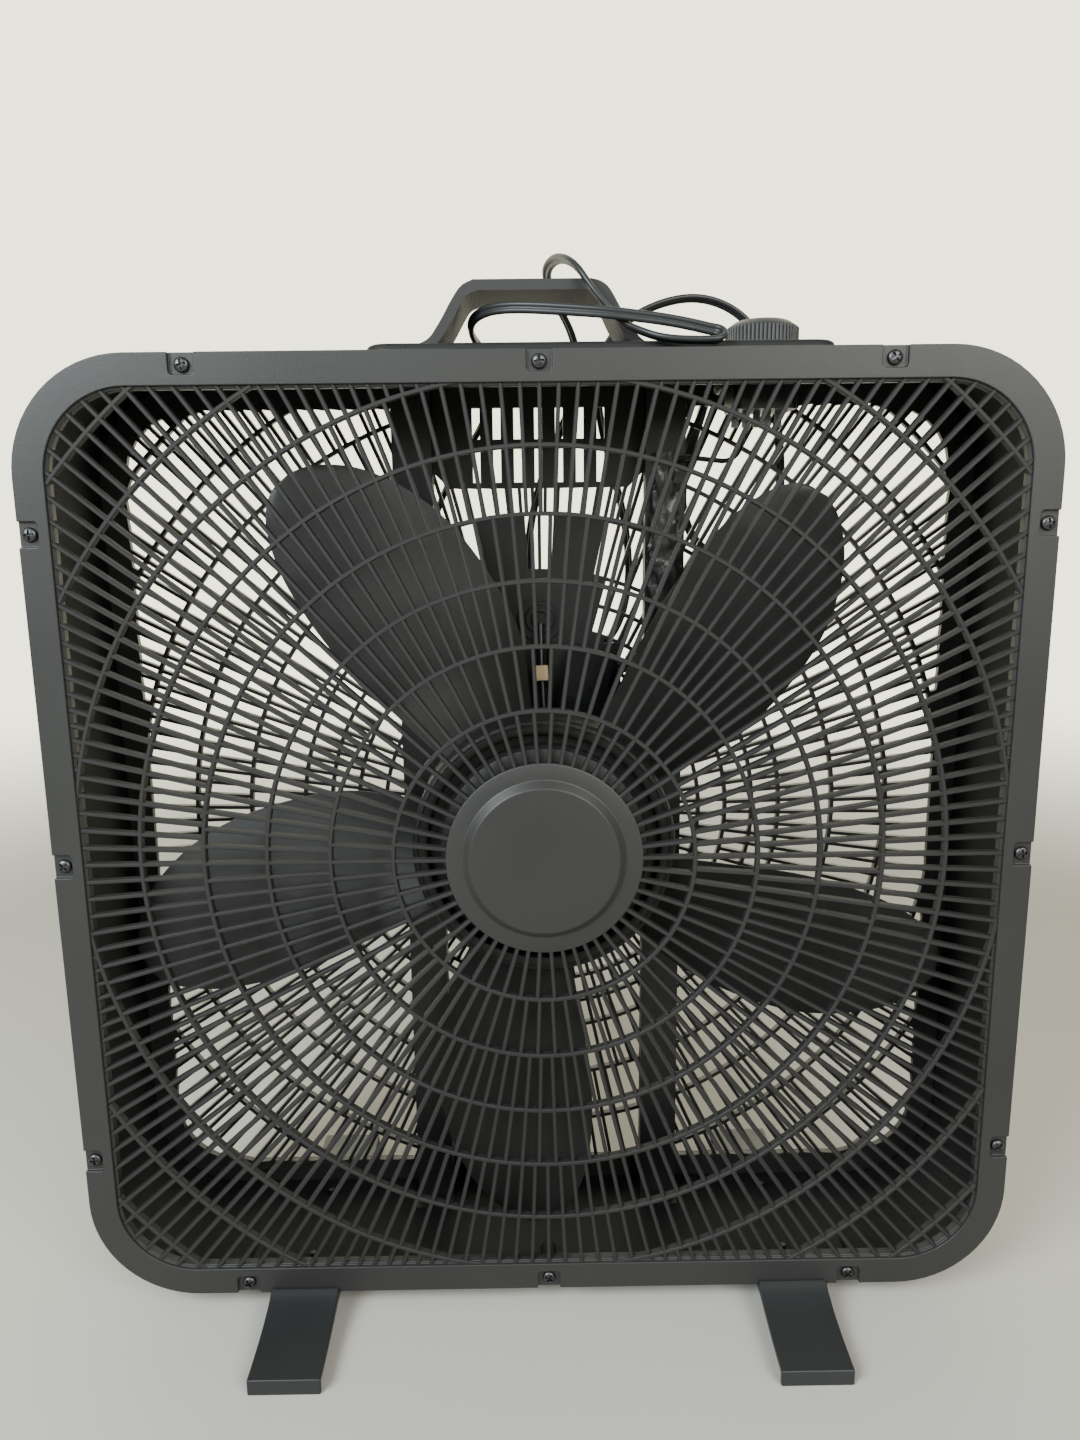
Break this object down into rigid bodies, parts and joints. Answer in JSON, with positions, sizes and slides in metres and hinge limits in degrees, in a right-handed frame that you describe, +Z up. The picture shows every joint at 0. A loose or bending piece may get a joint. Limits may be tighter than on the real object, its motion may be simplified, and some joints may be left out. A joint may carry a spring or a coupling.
{
  "type": "box fan",
  "caption": "Square box fan with a lattice grille, wide rounded blades, carrying handle, speed knob, two feet and a flat power cord.",
  "frame": {"origin": "on the table under the middle of the case", "axes": "+X to the right seen from the front, +Y to the rear, +Z up; the front grille faces -Y"},
  "size_m": [0.53, 0.225, 0.598],
  "materials": {
    "charcoal_plastic": "matte charcoal moulding with a fine grain",
    "blade_plastic": "semi-gloss dark grey",
    "dark_screw": "dark plated steel",
    "bright_steel": "turned steel",
    "black_paint": "black painted sheet steel",
    "bronze": "sintered bronze",
    "core_steel": "varnished laminations",
    "winding_tape": "black tape over the coils",
    "capacitor_case": "black box",
    "lead_insulation": "black wire insulation",
    "sleeve_film": "wrinkled glossy sleeve",
    "tan_tape": "tan paper tape",
    "switch_plastic": "black plastic",
    "brass_plate": "bright brass",
    "cord_pvc": "satin black cord insulation"
  },
  "bodies": {
    "frame": {"bezel_screws": "dark_screw", "case_shell": "charcoal_plastic", "foot_screws": "dark_screw", "front_bearing": "bronze", "front_end_bell": "black_paint", "front_grille": "charcoal_plastic", "handle_screws": "dark_screw", "lead_sleeve": "sleeve_film", "lead_splice": "tan_tape", "left_foot": "charcoal_plastic", "left_strut": "black_paint", "motor_bolts": "dark_screw", "motor_bracket": "black_paint", "motor_lead": "lead_insulation", "motor_leads": "lead_insulation", "plug_blades": "brass_plate", "plug_body": "cord_pvc", "power_cord": "cord_pvc", "rear_bearing": "bronze", "rear_end_bell": "black_paint", "rear_grille": "charcoal_plastic", "rear_screws": "dark_screw", "right_foot": "charcoal_plastic", "right_strut": "black_paint", "rotary_switch": "switch_plastic", "run_capacitor": "capacitor_case", "stator_core": "core_steel", "stator_windings": "winding_tape", "strain_relief": "switch_plastic", "strut_screws": "dark_screw", "switch_nut": "bright_steel", "switch_terminals": "brass_plate", "top_handle": "charcoal_plastic"},
    "impeller": {"fan_blade": "blade_plastic", "blade_clip": "bright_steel", "motor_shaft": "bright_steel", "rotor_core": "core_steel"},
    "knob": {"speed_knob": "charcoal_plastic", "switch_shaft": "switch_plastic"}
  },
  "joints": [
    {"name": "impeller_spin", "type": "hinge", "parent": "frame", "child": "impeller", "pos_m": [0, 0, 0.278], "axis": [0, 1, 0], "continuous": true},
    {"name": "knob_turn", "type": "hinge", "parent": "frame", "child": "knob", "pos_m": [0.121, 0, 0.55], "axis": [0, 0, -1], "range_deg": [0, 270]}
  ]
}
